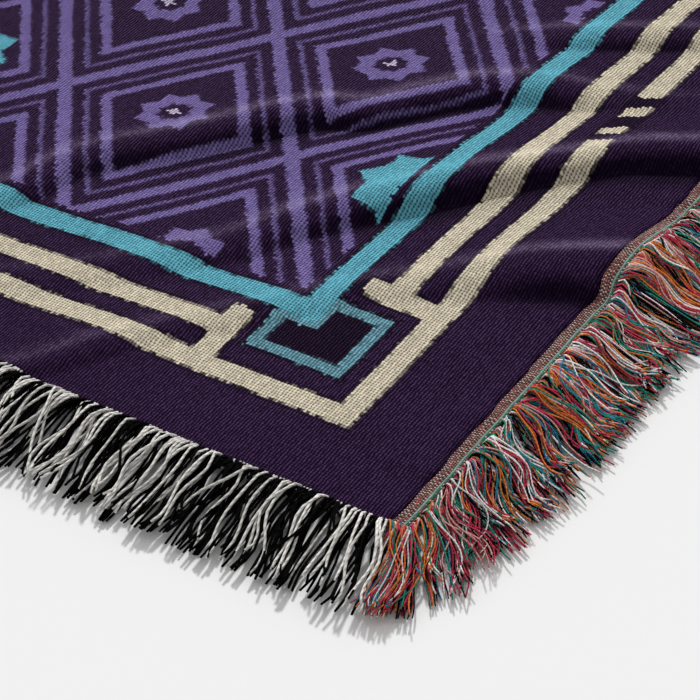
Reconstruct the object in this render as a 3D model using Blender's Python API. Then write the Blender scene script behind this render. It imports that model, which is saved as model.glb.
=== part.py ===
"""A woven tapestry throw blanket, laid out flat on a surface with soft diagonal folds across one corner.

The woven panel is one sheet. A fringe runs along each of its four sides: thick weft cords past the
two short sides, and thin warp yarns past the two long ones, which hang from a narrow woven heading.
Metres, +Z up. X runs along the short sides and Y along the long ones. The origin lies on the surface,
under the middle of the blanket. The folds of the corner at +X, -Y are the sharp ones.
"""

import math
import random
from collections import namedtuple

import bmesh
import bpy
from mathutils import Matrix, Vector

# The throw's overall size, over its fringes: 50 by 60 inches.
OVERALL_X = 1.270
OVERALL_Y = 1.524

CLOTH = 0.002  # thickness of the woven cloth
FRINGE = 0.045  # the longest fringe, from its heading to its tips
CORD_HEADING = 0.003  # the bound row that the weft cords leave
YARN_HEADING = 0.008  # the woven heading that the warp yarns leave
CLEARANCE = 0.0003  # between the panel and each heading

PANEL_X = OVERALL_X - 2 * (FRINGE + YARN_HEADING + CLEARANCE)
PANEL_Y = OVERALL_Y - 2 * (FRINGE + CORD_HEADING + CLEARANCE)
CORNER = Vector((PANEL_X / 2, -PANEL_Y / 2))

# The panel's faces: small ones near the folded corner, large ones past them.
FINE_REACH = 0.350
FINE_STEP = 0.0100
COARSE_STEP = 0.062

# Each fold is a crest through these points, left to right as it is seen from outside the folded corner:
# x, y, height, and how far the cloth slopes on the near side and on the far side. In millimetres.
Crest = namedtuple("Crest", "x y height near far")
CORNER_FOLDS = (
    # x and y are measured from the panel's own folded corner
    (
        Crest(-230, -60, 1.8, 13, 36),
        Crest(-175, 2, 2.6, 13, 36),
        Crest(-153, 35, 2.3, 13, 36),
        Crest(-141, 50, 2.1, 13, 36),
        Crest(-119, 75, 2.0, 15, 36),
        Crest(-100, 96, 2.2, 16, 36),
        Crest(-82, 116, 2.4, 17, 36),
        Crest(-63, 132, 3.0, 20, 36),
        Crest(-50, 143, 4.4, 23, 38),
        Crest(-35, 154, 6.8, 25, 40),
        Crest(-15, 165, 8.8, 26, 42),
        Crest(5, 173, 9.2, 27, 42),
        Crest(40, 183, 8.8, 27, 42),
    ),
    (
        Crest(-270, 5, 0.0, 20, 50),
        Crest(-226, 42, 0.8, 20, 50),
        Crest(-191, 67, 1.6, 19, 50),
        Crest(-148, 112, 3.4, 18, 50),
        Crest(-136, 131, 4.8, 18, 52),
        Crest(-119, 154, 6.6, 18, 54),
        Crest(-103, 171, 8.0, 18, 56),
        Crest(-94, 182, 8.4, 17, 56),
        Crest(-81, 197, 7.8, 16, 50),
        Crest(-68, 210, 7.0, 15, 45),
        Crest(-52, 225, 6.4, 15, 42),
        Crest(-37, 240, 6.8, 15, 42),
        Crest(-10, 254, 7.8, 16, 42),
        Crest(30, 270, 8.0, 16, 42),
    ),
    (
        Crest(-330, 20, 0.0, 22, 60),
        Crest(-290, 60, 2.0, 20, 60),
        Crest(-253, 92, 4.0, 18, 60),
        Crest(-239, 127, 5.0, 17, 60),
        Crest(-209, 158, 6.2, 17, 60),
        Crest(-188, 184, 7.2, 16, 60),
        Crest(-167, 207, 7.2, 16, 60),
        Crest(-149, 215, 6.8, 16, 60),
        Crest(-133, 237, 6.4, 16, 60),
        Crest(-116, 255, 6.4, 17, 60),
        Crest(-92, 268, 6.0, 18, 55),
        Crest(-67, 276, 4.0, 18, 45),
        Crest(-46, 284, 1.8, 18, 40),
        Crest(-20, 296, 0.0, 18, 40),
    ),
    (
        Crest(-140, 290, 0.0, 18, 50),
        Crest(-115, 302, 3.2, 17, 50),
        Crest(-91, 316, 5.0, 16, 50),
        Crest(-60, 334, 4.0, 16, 50),
        Crest(-20, 352, 2.4, 18, 50),
        Crest(30, 368, 2.0, 18, 50),
    ),
)
FIELD_FOLDS = (
    # x and y are measured from the panel's middle
    (
        Crest(-520, -560, 0, 110, 130),
        Crest(-405, -524, 6, 110, 130),
        Crest(-286, -472, 8, 110, 130),
        Crest(-180, -400, 6, 110, 130),
        Crest(-80, -330, 0, 110, 130),
    ),
    (
        Crest(60, 110, 0, 120, 120),
        Crest(155, 214, 7, 120, 120),
        Crest(257, 298, 9, 120, 120),
        Crest(378, 364, 7, 120, 120),
        Crest(500, 420, 0, 120, 120),
    ),
    (
        Crest(-480, 300, 0, 110, 120),
        Crest(-408, 402, 6, 110, 120),
        Crest(-321, 492, 8, 110, 120),
        Crest(-218, 572, 6, 110, 120),
        Crest(-120, 640, 0, 110, 120),
    ),
)
FAR_CREASE = 0.9  # how sharp a crest is on its far side: 0 is round
NEAR_SHOULDER = 2.1  # how far the near side stays up before it drops: 1 is an even slope

# A lock of fringe, as sections from its root to its tip: how far out along the lock, how wide as a share
# of the room it has, how high its top lies, and how much of its lean and of the fold's lift it has there.
Section = namedtuple("Section", "reach width top lean lift")
LOCK_SECTIONS = (
    Section(0.22, 0.84, 0.0060, 0.12, 0.75),
    Section(0.60, 0.72, 0.0050, 0.52, 0.25),
    Section(1.00, 0.46, 0.0024, 1.00, 0.00),
)
SHORTEST_LOCK = 0.88  # as a share of the longest
LEAN_WAVES = ((0.0040, 0.190, 0.4), (0.0022, 0.071, 1.9))  # height, length and phase of each, in metres
FAN_REACH = 0.050  # how soon the splay of the locks at a corner dies away from it
FAN_SHORTENING = 0.25  # how much less far out a splayed lock reaches

# Lean is how far sideways a side's locks lie, and fan how far its last lock at each corner splays.
Side = namedtuple("Side", "name turn half_width length heading locks lean fan seed material")
SIDES = (
    Side("weft_fringe_foot", 0, PANEL_Y / 2, PANEL_X, CORD_HEADING, 58, -0.006, 0.018, 11, "weft_cord"),
    Side("warp_fringe_right", 90, PANEL_X / 2, PANEL_Y, YARN_HEADING, 72, -0.005, 0.034, 12, "warp_yarn"),
    Side("weft_fringe_head", 180, PANEL_Y / 2, PANEL_X, CORD_HEADING, 58, 0.005, 0.018, 13, "weft_cord"),
    Side("warp_fringe_left", 270, PANEL_X / 2, PANEL_Y, YARN_HEADING, 72, 0.004, 0.034, 14, "warp_yarn"),
)

# Colour and roughness of each kind of yarn.
MATERIALS = {
    "woven_cotton": ((0.030, 0.014, 0.048, 1.0), 0.92),
    "weft_cord": ((0.110, 0.105, 0.100, 1.0), 0.90),
    "warp_yarn": ((0.210, 0.090, 0.075, 1.0), 0.85),
}


def eased(share):
    """0 at 0 and 1 at 1, level at both ends."""
    share = min(max(share, 0.0), 1.0)
    return share * share * (3 - 2 * share)


def crest_line(fold, origin):
    """Points 4 to a span on a smooth line through a fold's crest, in metres."""
    rows = [Vector(crest) / 1000 for crest in fold]
    for row in rows:
        row[0] += origin[0]
        row[1] += origin[1]
    padded = [2 * rows[0] - rows[1], *rows, 2 * rows[-1] - rows[-2]]
    line = []
    for before, first, second, after in zip(padded, padded[1:], padded[2:], padded[3:]):
        for step in range(4):
            t = step / 4
            line.append(
                first
                + 0.5 * t * (second - before)
                + t * t * (before - 2.5 * first + 2 * second - 0.5 * after)
                + t ** 3 * (1.5 * first - 0.5 * before - 1.5 * second + 0.5 * after)
            )
    return line + [rows[-1]]


def rise(line, x, y):
    """How far one fold lifts the cloth at a point."""
    nearest = math.inf
    lifted = 0.0
    for first, second in zip(line, line[1:]):
        span_x, span_y = second[0] - first[0], second[1] - first[1]
        off_x, off_y = x - first[0], y - first[1]
        t = (off_x * span_x + off_y * span_y) / (span_x ** 2 + span_y ** 2)
        t = min(max(t, 0.0), 1.0)
        distance = math.hypot(off_x - t * span_x, off_y - t * span_y)
        if distance < nearest:
            nearest = distance
            _, _, height, near, far = first + (second - first) * t
            if off_y * span_x - off_x * span_y > 0:
                share = min(distance / far, 1.0)
                left = (1 - share) ** 2 * (1 + (2 - FAR_CREASE) * share)
            else:
                left = 1 - eased(min(distance / near, 1.0) ** NEAR_SHOULDER)
            lifted = max(height, 0.0) * left
    return lifted


CREST_LINES = [crest_line(fold, CORNER) for fold in CORNER_FOLDS] + [crest_line(fold, (0, 0)) for fold in FIELD_FOLDS]


def lift(x, y):
    """How high the cloth's underside lies at a point. It is 0 wherever the cloth rests on the surface."""
    return sum(rise(line, x, y) for line in CREST_LINES)


def stops(length):
    """Where the panel's faces meet, from 0 at the folded corner to length."""
    fine = round(FINE_REACH / FINE_STEP)
    coarse = round((length - FINE_REACH) / COARSE_STEP)
    near = [FINE_REACH * i / fine for i in range(1, fine + 1)]
    return near + [FINE_REACH + (length - FINE_REACH) * i / coarse for i in range(1, coarse)]


def finish(name, mesh_data, material):
    """Turns a bmesh into a named object with its material."""
    bmesh.ops.triangulate(mesh_data, faces=mesh_data.faces)
    bmesh.ops.recalc_face_normals(mesh_data, faces=mesh_data.faces)
    mesh = bpy.data.meshes.new(name)
    mesh_data.to_mesh(mesh)
    mesh_data.free()
    mesh.materials.append(bpy.data.materials[material])
    mesh.shade_smooth()
    mesh.set_sharp_from_angle(angle=math.radians(40))
    piece = bpy.data.objects.new(name, mesh)
    bpy.context.scene.collection.objects.link(piece)
    return piece


def make_materials():
    for name, (colour, roughness) in MATERIALS.items():
        material = bpy.data.materials.new(name)
        material.use_nodes = True
        shader = material.node_tree.nodes["Principled BSDF"]
        shader.inputs["Base Color"].default_value = colour
        shader.inputs["Roughness"].default_value = roughness
        shader.inputs["Metallic"].default_value = 0.0


def cut(mesh_data, place, normal):
    """Cuts every face along a plane."""
    everything = [*mesh_data.verts, *mesh_data.edges, *mesh_data.faces]
    bmesh.ops.bisect_plane(mesh_data, geom=everything, plane_co=place, plane_no=normal)


def thicken(mesh_data, thickness):
    """Gives a sheet, which is the underside, its upper face and its edges."""
    raised = bmesh.ops.extrude_face_region(mesh_data, geom=mesh_data.faces[:])["geom"]
    upper = [part for part in raised if isinstance(part, bmesh.types.BMVert)]
    bmesh.ops.translate(mesh_data, verts=upper, vec=(0, 0, thickness))


def make_panel():
    """The woven panel: one sheet that rests flat except where its folds lift it."""
    sheet = bmesh.new()
    half_sizes = Matrix.Diagonal((PANEL_X / 2, PANEL_Y / 2, 1, 1))
    bmesh.ops.create_grid(sheet, x_segments=1, y_segments=1, size=1.0, matrix=half_sizes)
    for distance in stops(PANEL_X):
        cut(sheet, (CORNER.x - distance, 0, 0), (1, 0, 0))
    for distance in stops(PANEL_Y):
        cut(sheet, (0, CORNER.y + distance, 0), (0, 1, 0))
    for point in sheet.verts:
        point.co.z = lift(point.co.x, point.co.y)
    thicken(sheet, CLOTH)
    return finish("woven_panel", sheet, "woven_cotton")


def splay(side, along):
    """How near a lock is to the side's first and last corner: 1 at the corner, and 0 well away from it."""
    first = math.exp(-(side.length / 2 + along) / FAN_REACH)
    last = math.exp(-(side.length / 2 - along) / FAN_REACH)
    return first, last


def leaning(side, along):
    """How far sideways the tip of a lock lies from its root."""
    sway = sum(
        height * math.sin(math.tau * along / length + phase)
        for height, length, phase in LEAN_WAVES
    )
    first, last = splay(side, along)
    return (side.lean + sway) * (1 - first - last) + side.fan * (last - first)


def shape_section(corners, centre, half_width, out, bottom, top):
    """Moves the four corners of a lock's end face to their section. Out is measured along -Y."""
    across = sorted(corners, key=lambda corner: corner.co.x)
    for pair, x in ((across[:2], centre - half_width), (across[2:], centre + half_width)):
        lower, upper = sorted(pair, key=lambda corner: corner.co.z)
        lower.co = (x, -out, bottom)
        upper.co = (x, -out, top)


def make_fringe(side):
    """One side's heading with its locks. It is made as the side at -Y, and then turned into place."""
    turn = Matrix.Rotation(math.radians(side.turn), 4, "Z")
    inner = side.half_width + CLEARANCE
    outer = inner + side.heading
    room = side.length / side.locks

    def lift_here(along, out):
        place = turn @ Vector((along, -out, 0))
        return lift(place.x, place.y)

    strip = bmesh.new()
    middle = Matrix.Translation((0, -(inner + outer) / 2, 0))
    half_sizes = Matrix.Diagonal((side.length / 2, side.heading / 2, 1, 1))
    bmesh.ops.create_grid(strip, x_segments=side.locks, y_segments=1, size=1.0, matrix=middle @ half_sizes)
    for point in strip.verts:
        point.co.z = lift_here(point.co.x, -point.co.y)
    thicken(strip, CLOTH)

    lengths = random.Random(side.seed)
    strip.normal_update()
    roots = [face for face in strip.faces if face.normal.y < -0.9]
    roots.sort(key=lambda face: face.calc_center_median().x)
    locks = bmesh.ops.extrude_discrete_faces(strip, faces=roots)["faces"]
    locks.sort(key=lambda face: face.calc_center_median().x)
    centres = [face.calc_center_median().x for face in locks]
    shares = [min(1.0, lengths.uniform(SHORTEST_LOCK, 1.06)) for _ in locks]
    for number, section in enumerate(LOCK_SECTIONS):
        if number:
            locks = bmesh.ops.extrude_discrete_faces(strip, faces=locks)["faces"]
            locks.sort(key=lambda face: face.calc_center_median().x)
        for face, centre, share in zip(locks, centres, shares):
            held = lift_here(centre, outer) * section.lift
            place = centre + leaning(side, centre) * section.lean
            shortened = 1 - FAN_SHORTENING * sum(splay(side, centre))
            out = outer + FRINGE * share * shortened * section.reach
            half_width = room * section.width / 2
            shape_section(face.verts[:], place, half_width, out, held, held + section.top)
    bmesh.ops.transform(strip, matrix=turn, verts=strip.verts)
    return finish(side.name, strip, side.material)


def main():
    for left_over in list(bpy.data.objects):
        bpy.data.objects.remove(left_over)
    make_materials()
    make_panel()
    for side in SIDES:
        make_fringe(side)


main()
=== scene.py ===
"""The looks of a woven tapestry throw blanket that lies with soft folds over one corner.

Metres, +Z up. X runs along the short sides and Y along the long ones, with the origin on the surface
under the middle of the blanket. The folds are those of the solids.
"""

import math
from collections import namedtuple

import bmesh
import bpy
import numpy as np
from mathutils import Matrix, Vector


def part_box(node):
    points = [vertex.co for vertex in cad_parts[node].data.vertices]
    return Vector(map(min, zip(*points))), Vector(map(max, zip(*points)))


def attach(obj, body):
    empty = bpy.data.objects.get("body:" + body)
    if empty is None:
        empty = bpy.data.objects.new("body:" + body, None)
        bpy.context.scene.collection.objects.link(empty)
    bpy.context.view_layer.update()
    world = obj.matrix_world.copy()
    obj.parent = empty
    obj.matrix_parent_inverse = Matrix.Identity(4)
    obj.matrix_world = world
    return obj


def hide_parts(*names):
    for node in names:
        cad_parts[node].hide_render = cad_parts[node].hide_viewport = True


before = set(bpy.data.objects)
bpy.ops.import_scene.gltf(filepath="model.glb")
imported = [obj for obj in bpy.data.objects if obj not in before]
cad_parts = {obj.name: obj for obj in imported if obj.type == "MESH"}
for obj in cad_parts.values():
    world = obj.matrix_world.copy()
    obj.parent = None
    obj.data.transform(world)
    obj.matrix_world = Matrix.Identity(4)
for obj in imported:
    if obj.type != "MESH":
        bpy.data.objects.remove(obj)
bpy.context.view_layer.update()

bl_info = {
    "name": "Tapestry throw blanket",
    "version": (1, 0, 0),
    "blender": (4, 5, 0),
    "location": "3D View > Sidebar > Throw",
    "description": "Weaves the cloth of a throw blanket, and lays out its fringes",
    "category": "Object",
}

PANEL_LOW, PANEL_HIGH = (Vector(corner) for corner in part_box("woven_panel"))
HALF_X = PANEL_HIGH.x
HALF_Y = PANEL_HIGH.y
CORNER = (HALF_X, -HALF_Y)  # the photographed corner of the cloth

# As the solids have them.
CLOTH = 0.002  # thickness of the cloth
CORD_HEADING = 0.003  # width of the bound row at a short side
YARN_HEADING = 0.008  # width of the woven band at a long side
CLEARANCE = 0.0003  # between the cloth and either of them

# The folds, as the solids have them. Each is a crest through these points, left to right as the camera sees
# them: x, y, height, and how far the cloth slopes on the near side and on the far side. In millimetres.
CORNER_FOLDS = (
    # x and y are measured from the photographed corner of the cloth
    (
        (-230, -60, 1.8, 13, 36), (-175, 2, 2.6, 13, 36), (-153, 35, 2.3, 13, 36), (-141, 50, 2.1, 13, 36),
        (-119, 75, 2.0, 15, 36), (-100, 96, 2.2, 16, 36), (-82, 116, 2.4, 17, 36), (-63, 132, 3.0, 20, 36),
        (-50, 143, 4.4, 23, 38), (-35, 154, 6.8, 25, 40), (-15, 165, 8.8, 26, 42), (5, 173, 9.2, 27, 42),
        (40, 183, 8.8, 27, 42),
    ),
    (
        (-270, 5, 0.0, 20, 50), (-226, 42, 0.8, 20, 50), (-191, 67, 1.6, 19, 50), (-148, 112, 3.4, 18, 50),
        (-136, 131, 4.8, 18, 52), (-119, 154, 6.6, 18, 54), (-103, 171, 8.0, 18, 56), (-94, 182, 8.4, 17, 56),
        (-81, 197, 7.8, 16, 50), (-68, 210, 7.0, 15, 45), (-52, 225, 6.4, 15, 42), (-37, 240, 6.8, 15, 42),
        (-10, 254, 7.8, 16, 42), (30, 270, 8.0, 16, 42),
    ),
    (
        (-330, 20, 0.0, 22, 60), (-290, 60, 2.0, 20, 60), (-253, 92, 4.0, 18, 60), (-239, 127, 5.0, 17, 60),
        (-209, 158, 6.2, 17, 60), (-188, 184, 7.2, 16, 60), (-167, 207, 7.2, 16, 60), (-149, 215, 6.8, 16, 60),
        (-133, 237, 6.4, 16, 60), (-116, 255, 6.4, 17, 60), (-92, 268, 6.0, 18, 55), (-67, 276, 4.0, 18, 45),
        (-46, 284, 1.8, 18, 40), (-20, 296, 0.0, 18, 40),
    ),
    (
        (-140, 290, 0.0, 18, 50), (-115, 302, 3.2, 17, 50), (-91, 316, 5.0, 16, 50), (-60, 334, 4.0, 16, 50),
        (-20, 352, 2.4, 18, 50), (30, 368, 2.0, 18, 50),
    ),
)
FIELD_FOLDS = (
    # x and y are measured from the middle of the cloth
    (
        (-520, -560, 0, 110, 130), (-405, -524, 6, 110, 130), (-286, -472, 8, 110, 130), (-180, -400, 6, 110, 130),
        (-80, -330, 0, 110, 130),
    ),
    (
        (60, 110, 0, 120, 120), (155, 214, 7, 120, 120), (257, 298, 9, 120, 120), (378, 364, 7, 120, 120),
        (500, 420, 0, 120, 120),
    ),
    (
        (-480, 300, 0, 110, 120), (-408, 402, 6, 110, 120), (-321, 492, 8, 110, 120), (-218, 572, 6, 110, 120),
        (-120, 640, 0, 110, 120),
    ),
)
FAR_CREASE = 0.9  # how sharp a crest is on its far side: 0 is round
NEAR_SHOULDER = 2.1  # how far the near side stays up before it drops: 1 is an even slope

# Shallow puckers of the weave: length, heading in degrees, phase and height of each ripple.
Ripple = namedtuple("Ripple", "length heading phase height")
RIPPLES = (
    Ripple(0.083, 31, 0.3, 0.00018),
    Ripple(0.061, 118, 1.7, 0.00014),
    Ripple(0.047, 74, 4.1, 0.00010),
    Ripple(0.036, 160, 2.6, 0.00007),
    Ripple(0.027, 12, 5.2, 0.00005),
)
# The selvages pucker between the bunches of their yarns.
SCALLOP_LENGTH = 0.0155
SCALLOP_HEIGHT = 0.0020
SCALLOP_REACH = 0.008  # how far in from the selvage the puckers rise
SCALLOP_PULL = 0.0024  # how far they draw the selvage in and out
SCALLOP_PULL_REACH = 0.012  # how far in they do so

# Painted shade below the folds and painted highlight along their crests, put into the cloth's own colours.
KEY_SIDE = (-0.585, 0.811)  # the side that the light comes from
PAINTED_SHADE_REACHES = (0.003, 0.006, 0.010, 0.015, 0.020)  # how far towards it a crest is looked for
PAINTED_SHADE_SLOPES = (0.22, 0.62)  # how steeply that crest must stand to begin to shut a point in, and to do so fully
FULL_CREST = 0.008  # how high a crest must be for its painted highlight to be full
CREST_SPREAD = (0.0022, 0.0046)  # how far the painted highlight spreads on a crest's near side and on its far side

# The four sides. Each is made as the side at -Y, and then turned.
Side = namedtuple("Side", "turn half_width half_length")
FOOT = Side(0, HALF_Y, HALF_X)
RIGHT = Side(90, HALF_X, HALF_Y)
HEAD = Side(180, HALF_Y, HALF_X)
LEFT = Side(270, HALF_X, HALF_Y)


# ---- Shape of the cloth


def eased(share):
    """0 at 0 and 1 at 1, level at both ends."""
    share = np.clip(share, 0.0, 1.0)
    return share * share * (3 - 2 * share)


def crest_line(fold, origin):
    """Points 4 to a span on a smooth line through a fold's crest, in metres."""
    rows = np.array(fold, dtype=float) / 1000
    rows[:, 0] += origin[0]
    rows[:, 1] += origin[1]
    padded = np.concatenate([[2 * rows[0] - rows[1]], rows, [2 * rows[-1] - rows[-2]]])
    line = []
    for before, first, second, after in zip(padded, padded[1:], padded[2:], padded[3:]):
        for step in range(4):
            t = step / 4
            line.append(
                first
                + 0.5 * t * (second - before)
                + t * t * (before - 2.5 * first + 2 * second - 0.5 * after)
                + t ** 3 * (1.5 * first - 0.5 * before - 1.5 * second + 0.5 * after)
            )
    return np.array(line + [rows[-1]])


def crest_beside(line, x, y):
    """For each point, how far off a fold's crest is, whether it is on the far side of it, and the crest's own height
    and widths where it is nearest."""
    nearest = np.full(x.shape, np.inf)
    beside = np.zeros((4, *x.shape))
    for first, second in zip(line, line[1:]):
        span = second[:2] - first[:2]
        length = np.hypot(*span)
        off_x, off_y = x - first[0], y - first[1]
        t = np.clip((off_x * span[0] + off_y * span[1]) / length ** 2, 0, 1)
        distance = np.hypot(off_x - t * span[0], off_y - t * span[1])
        far_side = off_y * span[0] - off_x * span[1] > 0
        _, _, height, near, far = (first[:, None] + (second - first)[:, None] * t.ravel()).reshape(5, *t.shape)
        beside = np.where(distance < nearest, np.stack([far_side, height, near, far]), beside)
        nearest = np.minimum(distance, nearest)
    return nearest, beside[0] > 0.5, *beside[1:]


def rise(line, x, y):
    """How far one fold lifts the cloth at each point."""
    distance, far_side, height, near, far = crest_beside(line, x, y)
    share = np.minimum(distance / np.where(far_side, far, near), 1.0)
    sloped = (1 - share) ** 2 * (1 + (2 - FAR_CREASE) * share)
    dropped = 1 - eased(share ** NEAR_SHOULDER)
    return np.maximum(height, 0) * np.where(far_side, sloped, dropped)


def painted_crest_highlight(x, y):
    """How much painted highlight lies along the crests of the corner's folds, from 0 to 1."""
    most = np.zeros(x.shape)
    for fold in CORNER_FOLDS:
        distance, far_side, height, _, _ = crest_beside(crest_line(fold, CORNER), x, y)
        spread = np.where(far_side, CREST_SPREAD[1], CREST_SPREAD[0])
        most = np.maximum(most, np.clip(height / FULL_CREST, 0, 1) ** 0.6 * np.exp(-((distance / spread) ** 2)))
    return most


def scallop(y):
    """How far the selvage is puckered at each point along it, from 0 to 1."""
    drift = 1.1 * np.sin(y * 37.0) + 0.8 * np.sin(y * 91.0 + 1.0)
    short = np.sin(math.tau * y / SCALLOP_LENGTH + drift)
    long = np.sin(math.tau * y / (2.1 * SCALLOP_LENGTH) + 2 * drift)
    return 0.5 + 0.2 * short + 0.3 * long


def underside(x, y):
    """How high the cloth's underside lies at each point."""
    x, y = np.broadcast_arrays(np.asarray(x, dtype=float), np.asarray(y, dtype=float))
    height = sum(rise(crest_line(fold, CORNER), x, y) for fold in CORNER_FOLDS)
    height = height + sum(rise(crest_line(fold, (0.0, 0.0)), x, y) for fold in FIELD_FOLDS)
    for ripple in RIPPLES:
        angle = math.radians(ripple.heading)
        phase = math.tau * (x * math.cos(angle) + y * math.sin(angle)) / ripple.length + ripple.phase
        height = height + ripple.height * (1 + np.sin(phase))
    edge = np.exp(-np.maximum(HALF_X - np.abs(x), 0.0) / SCALLOP_REACH)
    return height + SCALLOP_HEIGHT * scallop(y) * edge


def painted_fold_shade(x, y):
    """How much painted shade each point takes: how far the fold behind it shuts it in from the light, from 0 in the
    open to 1 right under a steep crest.
    """
    here = underside(x, y)
    steepest = np.zeros(here.shape)
    for reach in PAINTED_SHADE_REACHES:
        behind = underside(x + reach * KEY_SIDE[0], y + reach * KEY_SIDE[1])
        steepest = np.maximum(steepest, (behind - here) / reach)
    return eased((steepest - PAINTED_SHADE_SLOPES[0]) / (PAINTED_SHADE_SLOPES[1] - PAINTED_SHADE_SLOPES[0]))


def pulled(x, y):
    """Where the selvages' puckers carry a point that would lie at x on a straight selvage."""
    edge = np.exp(-np.abs(HALF_X - np.abs(x)) / SCALLOP_PULL_REACH)
    return x + np.sign(x) * SCALLOP_PULL * (scallop(y) - 0.5) * edge


def turned(side, along, out, height):
    """Places points that are given along and out from a side in the blanket's own frame."""
    angle = math.radians(side.turn)
    x = along * math.cos(angle) + (side.half_width + out) * math.sin(angle)
    y = along * math.sin(angle) - (side.half_width + out) * math.cos(angle)
    return np.stack(np.broadcast_arrays(pulled(x, y), y, height), axis=-1)


def held_up(side, along, out):
    """How high the cloth's underside would lie at places along and out from a side."""
    place = turned(side, along, out, np.zeros(1))
    return underside(place[..., 0], place[..., 1])


# ---- Materials


class Value:
    """A number that varies over a surface: one socket, on which Python's operators add Math nodes."""

    def __init__(self, nodes, socket):
        self.nodes = nodes
        self.socket = socket

    def maths(self, operation, *others):
        made = self.nodes.add("ShaderNodeMath", {"operation": operation}, dict(enumerate((self, *others))))
        return Value(self.nodes, made.outputs[0])

    def __add__(self, other):
        return self.maths("ADD", other)

    __radd__ = __add__

    def __mul__(self, other):
        return self.maths("MULTIPLY", other)

    __rmul__ = __mul__

    def __sub__(self, other):
        return self.maths("SUBTRACT", other)

    def __rsub__(self, other):
        return (self * -1) + other

    def __truediv__(self, other):
        return self.maths("DIVIDE", other)

    def __abs__(self):
        return self.maths("ABSOLUTE")

    def floor(self):
        return self.maths("FLOOR")

    def fraction(self):
        return self.maths("FRACT")

    def below(self, limit):
        return self.maths("LESS_THAN", limit)

    def above(self, limit):
        return self.maths("GREATER_THAN", limit)

    def between(self, low, high):
        return self.above(low) * self.below(high)

    def band(self, low, high, soft):
        """1 between low and high, eased off at both."""
        return self.within(low - soft, low + soft) * (1 - self.within(high - soft, high + soft))

    def smaller(self, other):
        return self.maths("MINIMUM", other)

    def larger(self, other):
        return self.maths("MAXIMUM", other)

    def within(self, low, high):
        """0 at low and 1 at high, eased between them."""
        settings = {"interpolation_type": "SMOOTHSTEP"}
        made = self.nodes.add("ShaderNodeMapRange", settings, {0: self, 1: low, 2: high, 3: 0.0, 4: 1.0})
        return Value(self.nodes, made.outputs[0])


PLAIN_GLOSS = 0.08
PLAIN_TINT = (1.0, 1.0, 1.0, 1.0)


class Nodes:
    """One material, and the nodes that are added to it."""

    def __init__(self, name):
        self.material = bpy.data.materials.new(name)
        self.material.use_nodes = True
        self.tree = self.material.node_tree
        self.shader = self.tree.nodes["Principled BSDF"]

    def add(self, kind, settings, values):
        """One node, with its settings chosen first and its sockets filled or linked after them."""
        node = self.tree.nodes.new(kind)
        for setting, chosen in settings.items():
            setattr(node, setting, chosen)
        for place, value in values.items():
            self.feed(node.inputs[place], value)
        return node

    def feed(self, socket, value):
        if isinstance(value, Value):
            value = value.socket
        if isinstance(value, bpy.types.NodeSocket):
            self.tree.links.new(value, socket)
        else:
            socket.default_value = value

    def place(self):
        """The piece's own coordinates, in metres."""
        coordinates = self.add("ShaderNodeTexCoord", {}, {})
        parted = self.add("ShaderNodeSeparateXYZ", {}, {0: coordinates.outputs["Object"]})
        return [Value(self, socket) for socket in parted.outputs]

    def unwrapped(self, name):
        """A UV map's two numbers."""
        chart = self.add("ShaderNodeUVMap", {"uv_map": name}, {})
        parted = self.add("ShaderNodeSeparateXYZ", {}, {0: chart.outputs[0]})
        return [Value(self, socket) for socket in parted.outputs[:2]]

    def attribute(self, name):
        """A number that the mesh itself holds at each of its points."""
        return Value(self, self.add("ShaderNodeAttribute", {"attribute_name": name}, {}).outputs["Fac"])

    def point(self, x, y, z=0.0):
        return self.add("ShaderNodeCombineXYZ", {}, {0: x, 1: y, 2: z}).outputs[0]

    def chance(self, x, y):
        """A number from 0 to 1 that is the same all over a cell."""
        made = self.add("ShaderNodeTexWhiteNoise", {"noise_dimensions": "2D"}, {0: self.point(x, y)})
        return Value(self, made.outputs["Value"])

    def cloud(self, point, scale):
        """A number from 0 to 1 that drifts softly from place to place."""
        made = self.add("ShaderNodeTexNoise", {}, {"Vector": point, "Scale": scale, "Detail": 2.0})
        return Value(self, made.outputs[0])

    def mixed(self, share, first, second):
        """The first colour where share is 0, and the second where it is 1."""
        made = self.add("ShaderNodeMix", {"data_type": "RGBA"}, {0: share, 6: first, 7: second})
        return made.outputs[2]

    def shaded(self, colour, amount):
        """A colour made darker or lighter by a number."""
        scaled = self.add("ShaderNodeVectorMath", {"operation": "SCALE"}, {0: colour, 3: amount})
        return scaled.outputs[0]

    def finished(self, colour, roughness, height, depth, gloss=PLAIN_GLOSS, tint=PLAIN_TINT):
        """Gives the shader its colour, roughness, relief and gloss. Depth is the relief's, in metres."""
        bump = self.add("ShaderNodeBump", {}, {"Strength": 1.0, "Distance": depth, "Height": height})
        self.feed(self.shader.inputs["Base Color"], colour)
        self.feed(self.shader.inputs["Roughness"], roughness)
        self.feed(self.shader.inputs["Normal"], bump.outputs[0])
        self.shader.inputs["Specular IOR Level"].default_value = gloss
        self.shader.inputs["Specular Tint"].default_value = tint
        return self.material


# Sizes of the borders, measured inwards from the cloth's edges.
CREAM_IN_X = 0.0410
CREAM_IN_Y = 0.0365
CREAM_WIDTH = 0.0100
CREAM_GAP = 0.0106
BLOCK = 0.0780  # where the inner cream line ends, along from the corner
TEAL_START = 0.0447
TEAL_WIDTH = 0.0103
BAR_GAP = 0.0060  # between the bar that ends the cream lines and the teal frame
RING_A = 0.0403  # the middle of the thin corner ring, from either edge of the frame
RING_B = 0.0415
RING_HALF_A = 0.0218
RING_HALF_B = 0.0195
RING_WIDTH = 0.0054
TIP_WIDTH = 0.0028  # the ring's colour beside the teal frame's corner
OUTLINE = 0.0018  # a dark edging on both sides of each line
BREAK = (0.202, 0.245)  # where the outer line breaks off, along from the corner
BREAK_SLANT = 0.54
BREAK_MARGIN = 0.002
DASHES = (0.2118, 0.2325)
DASH = 0.0075

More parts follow.
